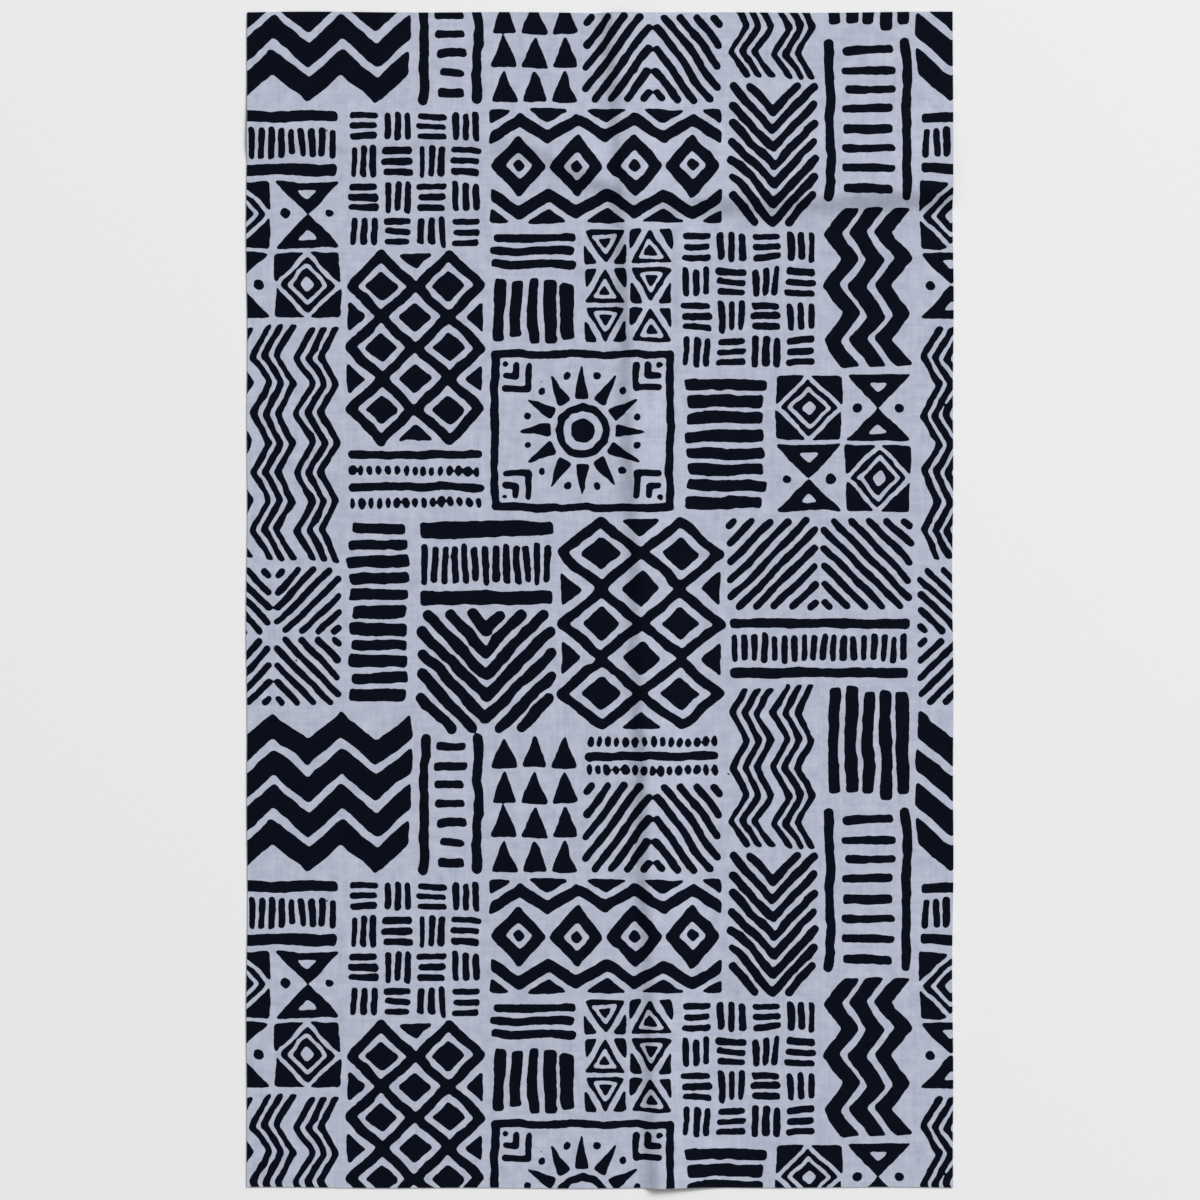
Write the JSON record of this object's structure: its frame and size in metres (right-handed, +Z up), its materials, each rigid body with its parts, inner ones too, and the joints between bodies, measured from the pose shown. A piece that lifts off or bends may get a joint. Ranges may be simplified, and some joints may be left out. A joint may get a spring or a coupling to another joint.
{
  "type": "printed cotton cloth",
  "caption": "Cut length of wax print cotton with a dark patchwork print of strokes, zigzags and lattices, lying flat with a long fold and a cross fold still in it.",
  "frame": {"origin": "on the table, under the middle of the cloth", "axes": "+Z up off the table, +Y along the cut's length towards the end with the cross fold, +X across its width"},
  "size_m": [0.386, 0.642, 0.0063],
  "materials": {
    "wax_print_cotton": "matt plain-weave cotton, pale lilac-grey ground with a blue-black print"
  },
  "bodies": {
    "root": {"printed_cloth": "wax_print_cotton"}
  },
  "joints": []
}
